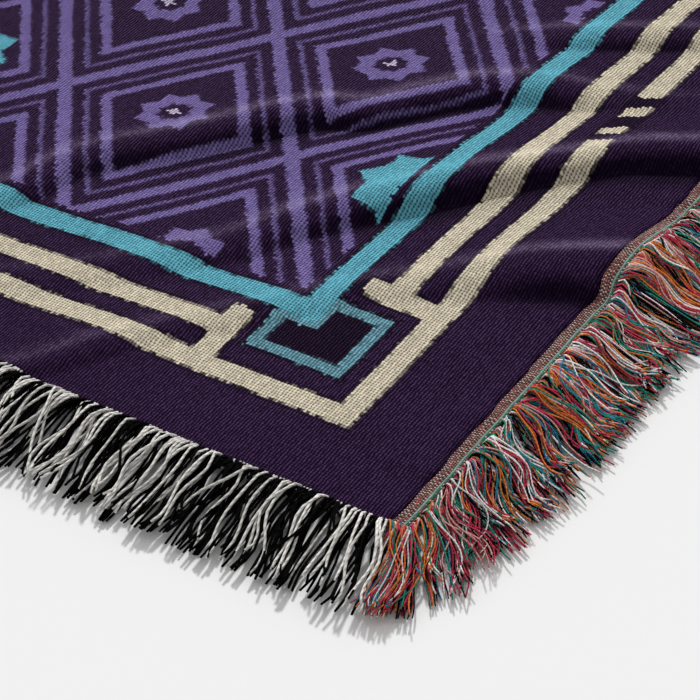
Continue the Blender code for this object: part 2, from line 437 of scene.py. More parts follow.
# Sizes of the trellis, measured out from the middle of each diamond.
FIELD_GAP = 0.004  # between the teal frame and the trellis
TRELLIS_STEPS = 4  # diamonds from the middle of the cloth to an edge
LATTICE_WIDTH = 0.0062
NEST = 0.0270
NEST_WIDTH = 0.0048
FINE_NEST = 0.0370
FINE_NEST_WIDTH = 0.0022
STAR = 0.0185
SMALL_STAR = 0.0125
SMALL_STAR_HOLE = 0.0060
SPARK = 0.0045

SOFT = 0.0007  # how far the edges of a motif are blurred between stitches
WANDER = 0.0024  # how far they stray from their lines
WANDER_SCALE = 170.0
FLECK_WANDER = 0.0008  # how far one stitch strays from the next
SWAY = 0.9  # how far a rib or a pick sways, as a share of its width
SWAY_SCALE = 330.0


def border_lines(x, y):
    """The woven borders at a place on the cloth: how far inwards it is, the cream lines, the teal frame, its thin
    corner rings, and the dark edging of them all."""
    a = HALF_X - CREAM_IN_X - abs(x)
    b = HALF_Y - CREAM_IN_Y - abs(y)
    inwards = a.smaller(b)
    along = a.larger(b)

    slant = b + a * BREAK_SLANT
    gap = slant.between(*BREAK) * a.below(CREAM_WIDTH + BREAK_MARGIN) * b.above(BLOCK)
    dashes = sum(slant.between(dash - DASH / 2, dash + DASH / 2) for dash in DASHES)
    outer = inwards.band(0, CREAM_WIDTH, SOFT) * (1 - gap * (1 - dashes))
    inner_start = CREAM_WIDTH + CREAM_GAP
    inner = inwards.band(inner_start, inner_start + CREAM_WIDTH, SOFT) * along.above(BLOCK - CREAM_WIDTH)
    bar = along.band(BLOCK - CREAM_WIDTH, BLOCK, SOFT) * inwards.between(0, TEAL_START - BAR_GAP)
    cream = outer.larger(inner).larger(bar)

    teal = inwards.band(TEAL_START, TEAL_START + TEAL_WIDTH, SOFT)
    ring = (abs(a - RING_A) - RING_HALF_A).larger(abs(b - RING_B) - RING_HALF_B)
    ring_line = ring.band(-RING_WIDTH, 0, SOFT)
    ring_tip = inwards.above(TEAL_START - TIP_WIDTH) * ring.below(0)
    thin = ring_line.larger(ring_tip) * inwards.below(TEAL_START)

    near_outer = inwards.band(-OUTLINE, CREAM_WIDTH + OUTLINE, SOFT)
    near_inner = inwards.band(inner_start - OUTLINE, inner_start + CREAM_WIDTH + OUTLINE, SOFT)
    near_bar = along.band(BLOCK - CREAM_WIDTH - OUTLINE, BLOCK + OUTLINE, SOFT) * inwards.above(0)
    near_teal = inwards.band(TEAL_START - OUTLINE, TEAL_START + TEAL_WIDTH + OUTLINE, SOFT)
    inner_side = near_inner * along.above(BLOCK - CREAM_WIDTH)
    outline = near_outer.larger(inner_side).larger(near_bar * inwards.below(TEAL_START)).larger(near_teal) * 0.75
    shade = outline.larger(ring.below(OUTLINE) * inwards.below(TEAL_START) * 0.9)
    return inwards, cream, teal, thin, shade


def field_motifs(x, y, inwards):
    """The generic trellis that fills the field: its lavender lines, its teal stars and its pale sparks."""
    field = inwards.above(TEAL_START + TEAL_WIDTH + FIELD_GAP)
    wide = (HALF_X - CREAM_IN_X - TEAL_START - TEAL_WIDTH) / TRELLIS_STEPS
    tall = (HALF_Y - CREAM_IN_Y - TEAL_START - TEAL_WIDTH) / TRELLIS_STEPS
    reach = 1 / math.hypot(1 / wide, 1 / tall)
    p = abs(x) / wide + abs(y) / tall
    q = abs(x) / wide - abs(y) / tall
    in_p = p.fraction() - 0.5
    in_q = q.fraction() - 0.5
    out = abs(in_p).larger(abs(in_q)) * reach
    lattice = out.within((reach - LATTICE_WIDTH) / 2 - SOFT, (reach - LATTICE_WIDTH) / 2 + SOFT)
    inner = out.band(NEST, NEST + NEST_WIDTH, SOFT)
    fine = out.band(FINE_NEST, FINE_NEST + FINE_NEST_WIDTH, SOFT) * 0.7

    sideways = abs((in_p + in_q) * (wide / 2))
    upwards = abs((in_p - in_q) * (tall / 2))
    square = sideways.larger(upwards)
    tilted = (sideways + upwards) * math.sqrt(0.5)
    star = square.smaller(tilted)
    odd_p = (p.floor() / 2).fraction().above(0.25)
    even_q = (q.floor() / 2).fraction().below(0.25)
    chosen = odd_p * even_q
    teal = star.band(-1.0, STAR, SOFT) * chosen
    lavender_star = star.band(SMALL_STAR_HOLE, SMALL_STAR, SOFT) * (1 - chosen)
    spark = (sideways * 3 + upwards).smaller(sideways + upwards * 3).below(SPARK)
    lavender = lattice.larger(inner).larger(fine).larger(lavender_star)
    return lavender * field, teal * field, spark * (1 - chosen) * field


def weave_material(settings):
    """Jacquard cloth: ribs along Y, each a row of stitches, whose colours follow the design."""
    nodes = Nodes("jacquard_weave")
    x, y, _ = nodes.place()
    woven_x = x / settings.rib + (nodes.cloud(nodes.point(x, y), SWAY_SCALE) - 0.5) * SWAY
    woven_y = y / settings.pick + (nodes.cloud(nodes.point(x, y, 0.4), SWAY_SCALE) - 0.5) * SWAY
    rib = woven_x.floor()
    pick = woven_y.floor()
    across = abs(woven_x.fraction() * 2 - 1)
    along = abs(woven_y.fraction() * 2 - 1)
    hole = along.within(0.26, 0.78) * across.within(0.30, 0.78)
    groove = across.within(0.25, 0.85)
    notch = along.within(0.55, 1.0)

    fleck = nodes.chance(rib, pick)
    stitch_x = (rib + 0.5) * settings.rib
    stitch_y = (pick + 0.5) * settings.pick
    spot = nodes.point(stitch_x, stitch_y)
    aside = nodes.point(stitch_x + 3.1, stitch_y)
    strayed_x = stitch_x + (nodes.cloud(spot, WANDER_SCALE) - 0.5) * WANDER + (fleck - 0.5) * FLECK_WANDER
    strayed_y = stitch_y + (nodes.cloud(aside, WANDER_SCALE) - 0.5) * WANDER + (fleck - 0.5) * FLECK_WANDER
    inwards, cream, frame_teal, thin, shade = border_lines(strayed_x, strayed_y)
    lavender, star_teal, spark = field_motifs(strayed_x, strayed_y, inwards)
    teal = frame_teal.larger(star_teal)
    design = cream.larger(teal).larger(lavender).larger(spark).larger(thin * 0.6)

    streak = nodes.cloud(nodes.point(x * 420, y * 26), 1.0)
    blotch = nodes.cloud(nodes.point(x, y), 21.0)

    # painted shade on the near side of each fold, held at the cloth's points
    painted_shade = nodes.attribute("painted_fold_shade")
    ground = nodes.mixed(shade, settings.ground, settings.outline)
    # painted highlight along the crests, patchy with the blotches
    painted_highlight = nodes.attribute("painted_crest_highlight") * (0.50 + blotch * 0.8)
    ground = nodes.mixed(painted_highlight * 0.8, ground, settings.painted_highlight)
    pale = nodes.mixed(painted_highlight * 0.35, settings.lavender, settings.pale_painted_highlight)
    yarn = nodes.mixed(lavender, ground, pale)
    yarn = nodes.mixed(thin, yarn, settings.thin_teal)
    yarn = nodes.mixed(teal, yarn, settings.teal)
    yarn = nodes.mixed(cream, yarn, settings.cream)
    yarn = nodes.mixed(spark, yarn, settings.spark)
    # the stitches' own uneven tone, with a painted highlight on the crests
    uneven = 0.42 + painted_highlight * 0.14 + design * 0.20 + fleck * (0.76 - design * 0.42) + streak * 0.30 + blotch * 0.12
    # painted shade: the stitches darken on the near side of each fold, the pale yarns of the design less
    yarn = nodes.shaded(yarn, uneven * (1 - painted_shade * (0.72 - design * 0.52)))

    # how far the yarn covers the dark gaps round each stitch
    cover = (1 - groove * (0.97 - design * 0.55)) * (1 - notch * (0.60 - design * 0.38)) * (1 - hole * design * 0.95)
    # painted highlight: on the crests the yarn hides more of the dark gaps, so they read lighter
    cover = cover + (1 - cover) * painted_highlight * 0.45
    gap = nodes.mixed(design * 0.17, settings.gap, yarn)
    colour = nodes.mixed(cover, gap, yarn)
    relief = (1 - across * across) * (1 - notch * 0.4) + fleck * 0.15 + streak * 0.20
    roughness = 0.90 - cover * (0.45 - design * 0.25) + streak * 0.06
    return nodes.finished(colour, roughness, relief, settings.relief, settings.gloss, settings.glow)


def strand_material(name, pitch, around, depth):
    """Twisted yarn. Each strand's colour is its own, and the plies wind round it."""
    nodes = Nodes(name)
    turn, run = nodes.unwrapped("strand")
    own = nodes.add("ShaderNodeAttribute", {"attribute_name": "yarn_colour"}, {})
    ply = abs((turn * around + run / pitch).fraction() - 0.5) * 2
    round_ply = 1 - ply * ply
    x, y, z = nodes.place()
    fuzz = nodes.cloud(nodes.point(x, y, z), 900.0)
    # painted shade: each ply darkens towards its edges, in the grooves between the plies
    colour = nodes.shaded(own.outputs["Color"], 0.66 + round_ply * 0.28 + fuzz * 0.26)
    return nodes.finished(colour, 0.80 + fuzz * 0.15, round_ply + fuzz * 0.3, depth, 0.02)


THREAD_ROW = 5  # the row of a heading that is one pale thread
BOUND_ROW = 0.0012  # the width of one row of stitches in the bound edge


def heading_material(name, settings):
    """A narrow woven band: rows of small stitches in several colours, with a pale thread and green rows."""
    nodes = Nodes(name)
    run, out = nodes.unwrapped("strand")
    row = (out / settings.row).floor()
    lag = (row / 2).fraction() * 0.8
    column = (run / settings.column + lag).floor()
    across = (out / settings.row).fraction() * 2 - 1
    along = (run / settings.column + lag).fraction() * 2 - 1
    dome = (1 - across * across) * (1 - along * along)
    pick = nodes.chance(row, column)
    every_other = ((column + row) / 2).fraction().above(0.25)
    yarn = nodes.mixed(pick.above(0.72), settings.brown, settings.red)
    pale = nodes.mixed(pick.above(0.45), settings.pink, settings.pale)
    yarn = nodes.mixed(every_other, yarn, pale)
    thread = row.between(THREAD_ROW - 0.5, THREAD_ROW + 0.5)
    yarn = nodes.mixed(row.above(THREAD_ROW + 0.5) * pick.between(0.25, 0.72), yarn, settings.green)
    yarn = nodes.mixed(thread, yarn, settings.thread)
    stitch = dome.within(0.12, 0.55).larger(thread * 0.75)
    shadow = nodes.shaded(yarn, 0.14)
    colour = nodes.mixed(stitch, shadow, nodes.shaded(yarn, 0.75 + pick * 0.35))
    return nodes.finished(colour, 0.88 + pick * 0.08, dome, 0.0004)


def bound_material(name, settings):
    """The bound row at a short side: small pale stitches between dark ones."""
    nodes = Nodes(name)
    run, out = nodes.unwrapped("strand")
    column = (run / settings.pitch).floor()
    across = (run / settings.pitch).fraction() * 2 - 1
    down = (out / BOUND_ROW).fraction() * 2 - 1
    dome = (1 - across * across) * (1 - down * down)
    pale = nodes.chance(column, (out / BOUND_ROW).floor()).above(0.45)
    yarn = nodes.mixed(pale, settings.black, settings.white)
    colour = nodes.mixed(dome.within(0.2, 0.6), settings.black, yarn)
    return nodes.finished(colour, 0.9 + pale * 0.02, dome, 0.0005)


# ---- Meshes


def clear_piece(name):
    """Removes the piece that an operator made before."""
    left_over = bpy.data.objects.get(name)
    if left_over:
        bpy.data.objects.remove(left_over)


def new_piece(name, mesh, material, node):
    """Links a mesh as a piece that rides on the blanket, and stands for its solid."""
    clear_piece(name)
    mesh.name = name
    mesh.materials.clear()
    mesh.materials.append(material)
    mesh.shade_smooth()
    piece = bpy.data.objects.new(name, mesh)
    bpy.context.scene.collection.objects.link(piece)
    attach(piece, "root")
    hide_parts(node)
    return piece


def applied(piece, modifier_type, **settings):
    """Adds a modifier, and makes its result the piece's own mesh."""
    modifier = piece.modifiers.new(modifier_type.title(), modifier_type)
    for setting, chosen in settings.items():
        setattr(modifier, setting, chosen)
    evaluated = piece.evaluated_get(bpy.context.evaluated_depsgraph_get())
    result = bpy.data.meshes.new_from_object(evaluated)
    piece.modifiers.clear()
    piece.data = result
    result.name = piece.name


def graded(length, reach, fine, coarse):
    """Distances from 0 to length, a fine step apart as far as reach and then widening to coarse steps."""
    near = np.linspace(0, reach, round(reach / fine) + 1)
    steps = max(2, round((length - reach) / (0.5 * (fine + coarse)) / 1.35))
    widths = fine + (coarse - fine) * eased(np.arange(1, steps + 1) / (0.35 * steps))
    far = reach + np.cumsum(widths) * (length - reach) / np.sum(widths)
    return np.concatenate([near, far])


def grid_mesh(name, xs, ys):
    """A flat grid of faces whose lines lie at xs and ys."""
    made = bmesh.new()
    columns, rows = len(xs) - 1, len(ys) - 1
    bmesh.ops.create_grid(made, x_segments=columns, y_segments=rows, size=0.5)
    for point in made.verts:
        point.co.x = xs[round((point.co.x + 0.5) * columns)]
        point.co.y = ys[round((point.co.y + 0.5) * rows)]
    mesh = bpy.data.meshes.new(name)
    made.to_mesh(mesh)
    made.free()
    return mesh


def places(mesh):
    """The places of a mesh's points, as rows of x, y and z."""
    flat = np.empty(len(mesh.vertices) * 3)
    mesh.vertices.foreach_get("co", flat)
    return flat.reshape(-1, 3)


def tube_points(paths, radii, turns):
    """The points round each tube, as strands by rings by sides by 3. Turns are the sides' places round the tube."""
    ahead = np.gradient(paths, axis=1)
    ahead /= np.linalg.norm(ahead, axis=2, keepdims=True)
    across = np.cross(ahead, (0.0, 0.0, 1.0))
    across /= np.linalg.norm(across, axis=2, keepdims=True)
    above = np.cross(across, ahead)
    circle = (
        np.cos(math.tau * turns)[None, None, :, None] * across[:, :, None, :]
        + np.sin(math.tau * turns)[None, None, :, None] * above[:, :, None, :]
    )
    return paths[:, :, None, :] + radii[:, :, None, None] * circle


def tube_faces(strands, rings, sides):
    """The corners of the tubes' walls, four to a face, and of their closed ends, as many to a face as it has sides."""
    first = (np.arange(strands) * rings * sides)[:, None, None]
    ring = (np.arange(rings - 1) * sides)[None, :, None]
    here = first + ring + np.arange(sides)[None, None, :]
    beside = first + ring + ((np.arange(sides) + 1) % sides)[None, None, :]
    walls = np.stack([here, beside, beside + sides, here + sides], axis=-1).reshape(-1, 4)
    root = first[:, :, 0] + np.arange(sides)[None, ::-1]
    tip = first[:, :, 0] + (rings - 1) * sides + np.arange(sides)[None, :]
    return walls, np.concatenate([root, tip])


PLY_SHIFT = 0.618  # so that the plies of neighbouring strands don't line up


def tube_chart(paths, turns):
    """Each face corner's turn round its strand and distance along it, in the order of the faces."""
    strands, rings, _ = paths.shape
    sides = len(turns)
    steps = np.linalg.norm(np.diff(paths, axis=1), axis=2)
    runs = np.concatenate([np.zeros((strands, 1)), np.cumsum(steps, axis=1)], axis=1)
    phase = (np.arange(strands) * PLY_SHIFT)[:, None]
    runs = runs + 0.01 * (phase % 1.0)
    u = np.stack([turns, turns + 1 / sides, turns + 1 / sides, turns], axis=-1)
    u = np.broadcast_to(u[None, None], (strands, rings - 1, sides, 4))
    v = np.stack([runs[:, :-1], runs[:, :-1], runs[:, 1:], runs[:, 1:]], axis=-1)
    v = np.broadcast_to(v[:, :, None, :], u.shape)
    walls = np.stack([u, v], axis=-1).reshape(-1, 2)
    cap_v = np.concatenate([np.repeat(runs[:, 0], sides), np.repeat(runs[:, -1], sides)])
    caps = np.stack([np.zeros_like(cap_v), cap_v], axis=-1)
    return np.concatenate([walls, caps])


def tube_mesh(name, paths, radii, sides, colours):
    """Joined tubes, one for each path. Paths is strands by rings by 3, radii strands by rings, and colours strands
    by 3."""
    strands, rings, _ = paths.shape
    turns = np.arange(sides) / sides
    points = tube_points(paths, radii, turns)
    walls, ends = tube_faces(strands, rings, sides)

    mesh = bpy.data.meshes.new(name)
    mesh.vertices.add(points.size // 3)
    mesh.vertices.foreach_set("co", points.ravel())
    mesh.loops.add(walls.size + ends.size)
    mesh.loops.foreach_set("vertex_index", np.concatenate([walls.ravel(), ends.ravel()]).astype(np.int32))
    mesh.polygons.add(len(walls) + len(ends))
    starts = np.concatenate([np.arange(len(walls)) * 4, walls.size + np.arange(len(ends)) * sides])
    mesh.polygons.foreach_set("loop_start", starts.astype(np.int32))
    mesh.uv_layers.new(name="strand").data.foreach_set("uv", tube_chart(paths, turns).ravel())

    shades = np.concatenate([colours, np.ones((strands, 1))], axis=1)
    shades = np.repeat(shades, rings * sides, axis=0)
    dyed = mesh.color_attributes.new(name="yarn_colour", type="FLOAT_COLOR", domain="POINT")
    dyed.data.foreach_set("color", shades.ravel())
    mesh.update(calc_edges=True)
    return mesh


def joined_tubes(name, meshes, sides):
    """One mesh of several layers of strands, each given as its paths, radii and colours."""
    paths, radii, colours = (np.concatenate(parts) for parts in zip(*meshes))
    return tube_mesh(name, paths, radii, sides, colours)


FINE_REACH = (0.40, 0.42)  # how far from the photographed corner the faces stay fine, along X and along Y


def weave_cloth(settings):
    """The cloth: one thin sheet on the folds, finest where they are sharpest."""
    xs = HALF_X - graded(2 * HALF_X, FINE_REACH[0], settings.fine_step, settings.coarse_step)[::-1]
    ys = -HALF_Y + graded(2 * HALF_Y, FINE_REACH[1], settings.fine_step, settings.coarse_step)
    mesh = grid_mesh("cloth", xs, ys)
    points = places(mesh)
    # The painted shade below the folds and the painted highlight on their crests, held at each point for the material.
    for name, measure in (("painted_fold_shade", painted_fold_shade), ("painted_crest_highlight", painted_crest_highlight)):
        held = mesh.attributes.new(name=name, type="FLOAT", domain="POINT")
        held.data.foreach_set("value", measure(points[:, 0], points[:, 1]))
    points[:, 2] = underside(points[:, 0], points[:, 1])
    points[:, 0] = pulled(points[:, 0], points[:, 1])
    mesh.vertices.foreach_set("co", points.ravel())
    mesh.update()
    piece = new_piece("cloth", mesh, weave_material(settings), "woven_panel")
    applied(piece, "SOLIDIFY", thickness=settings.thickness, offset=1.0)
    piece.data.shade_smooth()
    return piece


def grouped(random, roots, half_length, narrowest, widest):
    """For each root, the number of its bunch and the middle of that bunch."""
    widths = random.uniform(narrowest, widest, size=int(3 * half_length / narrowest))
    edges = np.concatenate([[-half_length], -half_length + np.cumsum(widths)])
    number = np.searchsorted(edges[1:], roots)
    return number, (edges[number] + edges[number + 1]) / 2


# How one layer of a fringe lies. Turns and waves are headings away from straight out, in radians.
Lay = namedtuple(
    "Lay",
    "length "  # the longest strand, in metres
    "shortest ragged "  # the shortest bunch, and how much shorter a strand is at most than its bunch, as shares
    "start_turn end_turn "  # how the whole row leans at its roots and at its tips
    "bunch_turn strand_turn "  # how far a bunch and a strand aim aside at most
    "bunch_wave strand_wave "  # how far they swing from side to side
    "splay_near splay_wide "  # how the row fans out towards its ends: how far, and over what reach
    "gather "  # how far a bunch draws together towards its tips
    "hump crown "  # how high a strand rises from its root, and at what share of its length
    "bend "  # the share of its length over which it turns to its aim
    "tip layer "  # how high its tip stays up, and how high its place in the layer lifts it
    "stray",  # the share of strands that aim far aside
)
WEFT_UNDER = Lay(
    length=0.0490, shortest=0.92, ragged=0.07, start_turn=0.05, end_turn=0.08, bunch_turn=0.12, strand_turn=0.08,
    bunch_wave=0.16, strand_wave=0.18, splay_near=(0.30, 0.012), splay_wide=(0.16, 0.05), gather=0.28,
    hump=0.0028, crown=0.25, bend=0.3, tip=0.0026, layer=0.0010, stray=0.0,
)
WEFT_OVER = WEFT_UNDER._replace(
    shortest=0.88, ragged=0.14, start_turn=0.02, end_turn=0.12, bunch_turn=0.15, bunch_wave=0.30, strand_wave=0.38,
    gather=0.30, hump=0.0034, crown=0.22, tip=0.0042, layer=0.0042, stray=0.10,
)
WARP_UNDER = Lay(
    length=0.0460, shortest=0.88, ragged=0.10, start_turn=0.0, end_turn=0.0, bunch_turn=0.14, strand_turn=0.10,
    bunch_wave=0.22, strand_wave=0.18, splay_near=(1.5, 0.010), splay_wide=(0.98, 0.095), gather=0.60,
    hump=0.0034, crown=0.20, bend=0.2, tip=0.0024, layer=0.0012, stray=0.0,
)
WARP_OVER = WARP_UNDER._replace(
    length=0.0475, shortest=0.82, ragged=0.16, bunch_turn=0.22, bunch_wave=0.60, strand_wave=0.44,
    gather=0.74, hump=0.0040, crown=0.13, tip=0.0034, layer=0.0052, stray=0.05,
)
STRAY_TURN = 0.55  # how far a strand that strays aims aside at most


def strand_paths(random, side, roots, start, lay, rings, level, bunches):
    """Lays out one strand from each root: out over its hump, then down towards the surface. Bunches gives the number
    and the middle of each strand's bunch."""
    number, middle = bunches
    bunch = number.max() + 1
    strands = len(roots)
    share = np.linspace(0, 1, rings)[None, :]

    def per_bunch(low, high):
        return random.uniform(low, high, size=bunch)[number][:, None]

    def per_strand(low, high):
        return random.uniform(low, high, size=strands)[:, None]

    def splayed(reach):
        return (np.exp(-(side.half_length - roots) / reach) - np.exp(-(side.half_length + roots) / reach))[:, None]

    near, near_reach = lay.splay_near
    wide, wide_reach = lay.splay_wide
    splay = near * splayed(near_reach) + wide * splayed(wide_reach)
    settled = 1 - np.abs(splayed(0.05))
    inside = (side.half_length - np.abs(roots))[:, None] > 0.02
    straying = (per_strand(0, 1) < lay.stray) & inside

    heading = (lay.start_turn + (lay.end_turn - lay.start_turn) * share) * settled
    aim = np.arctan(splay) + per_bunch(-1, 1) * lay.bunch_turn + per_strand(-1, 1) * lay.strand_turn
    aim = aim + np.where(straying, per_strand(-STRAY_TURN, STRAY_TURN), 0.0)
    heading = heading + aim * eased(share / lay.bend + 0.35)
    heading = heading + per_bunch(0.3, 1) * lay.bunch_wave * np.sin(
        math.tau * share * per_bunch(0.7, 1.7) + per_bunch(0, math.tau)
    ) * eased(share * 4 + 0.1)
    heading = heading + per_strand(0.2, 1) * lay.strand_wave * np.sin(
        math.tau * share * per_strand(0.6, 1.8) + per_strand(0, math.tau)
    ) * eased(share * 3 + 0.2)

    length = lay.length * per_bunch(lay.shortest, 1.0) * (1 - lay.ragged * per_strand(0, 1) ** 2)
    step = length / (rings - 1)
    middles = (heading[:, 1:] + heading[:, :-1]) / 2
    nothing = np.zeros((strands, 1))
    out = np.reshape(start, (-1, 1)) + np.concatenate([nothing, np.cumsum(np.cos(middles) * step, axis=1)], axis=1)
    along = roots[:, None] + np.concatenate([nothing, np.cumsum(np.sin(middles) * step, axis=1)], axis=1)
    along = along + lay.gather * per_bunch(0.3, 1.0) * (middle - roots)[:, None] * share ** 1.6

    hump = lay.hump * per_bunch(0.65, 1.3)
    peak = (share / lay.crown) * np.exp(1 - share / lay.crown)
    tip = lay.tip * per_bunch(0.3, 1.7) * share ** 2
    lifted = lay.layer * (level[:, None] + 0.25 * straying) * np.sin(math.pi * np.minimum(share * 1.1 + 0.06, 1.0))
    held = held_up(side, along, np.full_like(along, np.min(start))) * (1 - share) ** 1.5
    height = held + CLOTH * (1 - share) ** 2 + hump * peak + tip + lifted
    return along, out, height


def tapered(radius, count, rings, knots):
    """A strand's half thickness at each ring: a little uneven, and narrower at the tip."""
    share = np.linspace(0, 1, rings)[None, :]
    uneven = 1 + 0.08 * np.sin(share * 11 + knots[:, None] * 4000)
    return radius * np.ones((count, 1)) * uneven * (1 - 0.2 * np.clip((share - 0.92) / 0.08, 0, 1))


def weft_colours(random, strands, pale_share, settings):
    """Black and off-white cords, each a little lighter or darker than the next."""
    pale = random.random(strands) < pale_share
    tone = random.uniform(0.75, 1.10, size=(strands, 1))
    black = np.array(settings.black[:3]) * tone
    white = np.array(settings.white[:3]) * np.minimum(tone, 1.05)
    return np.where(pale[:, None], white, black), pale


CORD_BUNCH = (0.0035, 0.0085)  # the narrowest and the widest bunch of cords
CORD_TUCK = 0.0005  # how far under the cloth's edge a cord begins
UNDER_PALE_SHARE = 0.06  # the share of the under cords that are off-white
LOOP_SHARE = 0.45  # the share of cords with a short loop at the root
LOOP_PALE_SHARE = 0.85
LOOP_RADIUS = 0.00042


def root_loops(random, side, even, rings, settings):
    """The short loops that stand over the roots of some cords: their paths, radii and colours."""
    loops = even[random.random(len(even)) < LOOP_SHARE]
    share = np.linspace(0, 1, rings)[None, :]
    reach = random.uniform(0.0016, 0.0034, size=(len(loops), 1))
    along = loops[:, None] + random.uniform(-0.0010, 0.0016, size=(len(loops), 1)) * share
    out = -0.0006 + reach * share
    height = held_up(side, along, out) + 0.0016 + 0.0022 * np.sin(math.pi * (0.25 + 0.75 * share))
    colours, _ = weft_colours(random, len(loops), LOOP_PALE_SHARE, settings)
    return turned(side, along, out, height), tapered(LOOP_RADIUS, len(loops), rings, loops), colours


def weft_fringe(name, node, side, seed, rings, sides, settings):
    """One short side's thick cords in an under and an upper layer, with short loops at their roots."""
    random = np.random.default_rng(seed)
    count = int(2 * side.half_length / settings.pitch)
    even = (np.arange(count) + 0.5) * settings.pitch - side.half_length
    meshes = []
    for lay, pale_share, lowest in ((WEFT_UNDER, UNDER_PALE_SHARE, 0.0), (WEFT_OVER, settings.pale_share, 0.2)):
        roots = np.clip(even + random.uniform(-0.4, 0.4, count) * settings.pitch, -side.half_length, side.half_length)
        colours, pale = weft_colours(random, count, pale_share, settings)
        level = lowest + (1.0 - lowest) * (0.35 * pale + 0.65 * random.random(count))
        bunches = grouped(random, roots, side.half_length, *CORD_BUNCH)
        along, out, height = strand_paths(random, side, roots, -CORD_TUCK, lay, rings, level, bunches)
        paths = turned(side, along, out, height + settings.radius * 1.02)
        meshes.append((paths, tapered(settings.radius, count, rings, roots), colours))
    meshes.append(root_loops(random, side, even, rings, settings))

    mesh = joined_tubes(name, meshes, sides)
    material = bpy.data.materials.get("twisted_cord") or strand_material(
        "twisted_cord", pitch=0.0034, around=2.0, depth=0.0002
    )
    return new_piece(name, mesh, material, node)


YARN_BUNCH = (0.0022, 0.0052)  # the narrowest and the widest bunch of yarns
YARN_TUCK = 0.0012  # how far in from the heading's outer edge a yarn begins
TURNED_DOWN = 0.45  # the share of yarns in the under layer
BUNCH_DYED = 0.14  # the share of yarns that take their bunch's dye
CORNER_YARNS = 45  # the yarns in each layer that leave a heading at its cut end
YARN_SIDES = 3
# How often each dye comes, in the order of ThrowWarpSettings.dyes: in the under layer, and in the upper one. The under
# layer's many black yarns are partly real dark yarns and partly painted shade: dark yarns put beneath the bunches where
# the shadow between them falls.
UNDER_SHARES = (0.20, 0.05, 0.13, 0.11, 0.08, 0.06, 0.37)
OVER_SHARES = (0.25, 0.17, 0.14, 0.11, 0.14, 0.09, 0.10)


def warp_fringe(name, node, side, seed, span, per_metre, rings, settings):
    """A stretch of one long side's fine yarns, in an under and an upper layer."""
    random = np.random.default_rng(seed)
    low, high = span
    dyes = np.array([dye[:3] for dye in settings.dyes()])
    meshes = []
    for lay, layer_share, dye_shares in (
        (WARP_UNDER, TURNED_DOWN, UNDER_SHARES),
        (WARP_OVER, 1 - TURNED_DOWN, OVER_SHARES),
    ):
        roots = random.uniform(low, high, int((high - low) * per_metre * layer_share))
        start = np.full(len(roots), CLEARANCE + YARN_HEADING - YARN_TUCK)
        for end in (low, high):
            if abs(end) == side.half_length:
                roots = np.append(roots, end + np.sign(-end) * random.uniform(0, 0.0012, CORNER_YARNS))
                start = np.append(start, random.uniform(-0.0010, YARN_HEADING, CORNER_YARNS))
        count = len(roots)
        bunches = grouped(random, roots, side.half_length, *YARN_BUNCH)
        number = bunches[0]
        shares = np.array(dye_shares) / sum(dye_shares)
        chosen = random.choice(len(dyes), size=count, p=shares)
        of_bunch = random.choice(len(dyes), size=number.max() + 1, p=shares)[number]
        chosen = np.where(random.random(count) < BUNCH_DYED, of_bunch, chosen)
        colours = dyes[chosen] * random.uniform(0.70, 1.10, size=(count, 1))
        level = 0.75 * random.random(number.max() + 1)[number] + 0.25 * random.random(count)
        along, out, height = strand_paths(random, side, roots, start, lay, rings, level, bunches)
        paths = turned(side, along, out, height + settings.radius * 1.05)
        meshes.append((paths, tapered(settings.radius, count, rings, roots), colours))

    mesh = joined_tubes(name, meshes, YARN_SIDES)
    material = bpy.data.materials.get("fine_yarn") or strand_material(
        "fine_yarn", pitch=0.0016, around=1.0, depth=0.0001
    )
    return new_piece(name, mesh, material, node)


HEADING_STEP = 0.0026
HEADING_RIDGE = 0.0004  # how far the middle of a band stands up
HEADING_THICKNESS = 0.0017


def heading(name, node, slot, side, width, material):
    """The narrow band that one side's fringe leaves, on the cloth's own folds."""
    steps = np.linspace(-side.half_length, side.half_length, round(2 * side.half_length / HEADING_STEP))
    across = np.linspace(CLEARANCE, CLEARANCE + width, 6)
    mesh = grid_mesh(name, steps, -across[::-1])
    points = places(mesh)
    along, out = points[:, 0].copy(), -points[:, 1]
    layer = mesh.uv_layers.new(name="strand")
    corners = np.empty(len(mesh.loops), dtype=np.int32)
    mesh.loops.foreach_get("vertex_index", corners)
    layer.data.foreach_set("uv", np.stack([along[corners], out[corners]], axis=-1).ravel())
    ridge = HEADING_RIDGE * np.sin(np.pi * (out - CLEARANCE) / width)
    placed = turned(side, along, out, held_up(side, along, out) + ridge)
    mesh.vertices.foreach_set("co", placed.ravel())
    mesh.update()
    piece = new_piece(name, mesh, material, node)
    applied(piece, "SOLIDIFY", thickness=HEADING_THICKNESS, offset=1.0)
    piece.data.shade_smooth()
    return piece


# ---- Settings


def colour_setting(name, description, default):
    """A colour that a user may change."""
    return bpy.props.FloatVectorProperty(
        name=name, description=description, default=(*default, 1.0), size=4, subtype="COLOR", min=0.0, max=1.0
    )


def size_setting(name, description, default):
    """A length that a user may change, in metres."""
    return bpy.props.FloatProperty(
        name=name, description=description, default=default, min=0.0, unit="LENGTH", subtype="DISTANCE", precision=5
    )


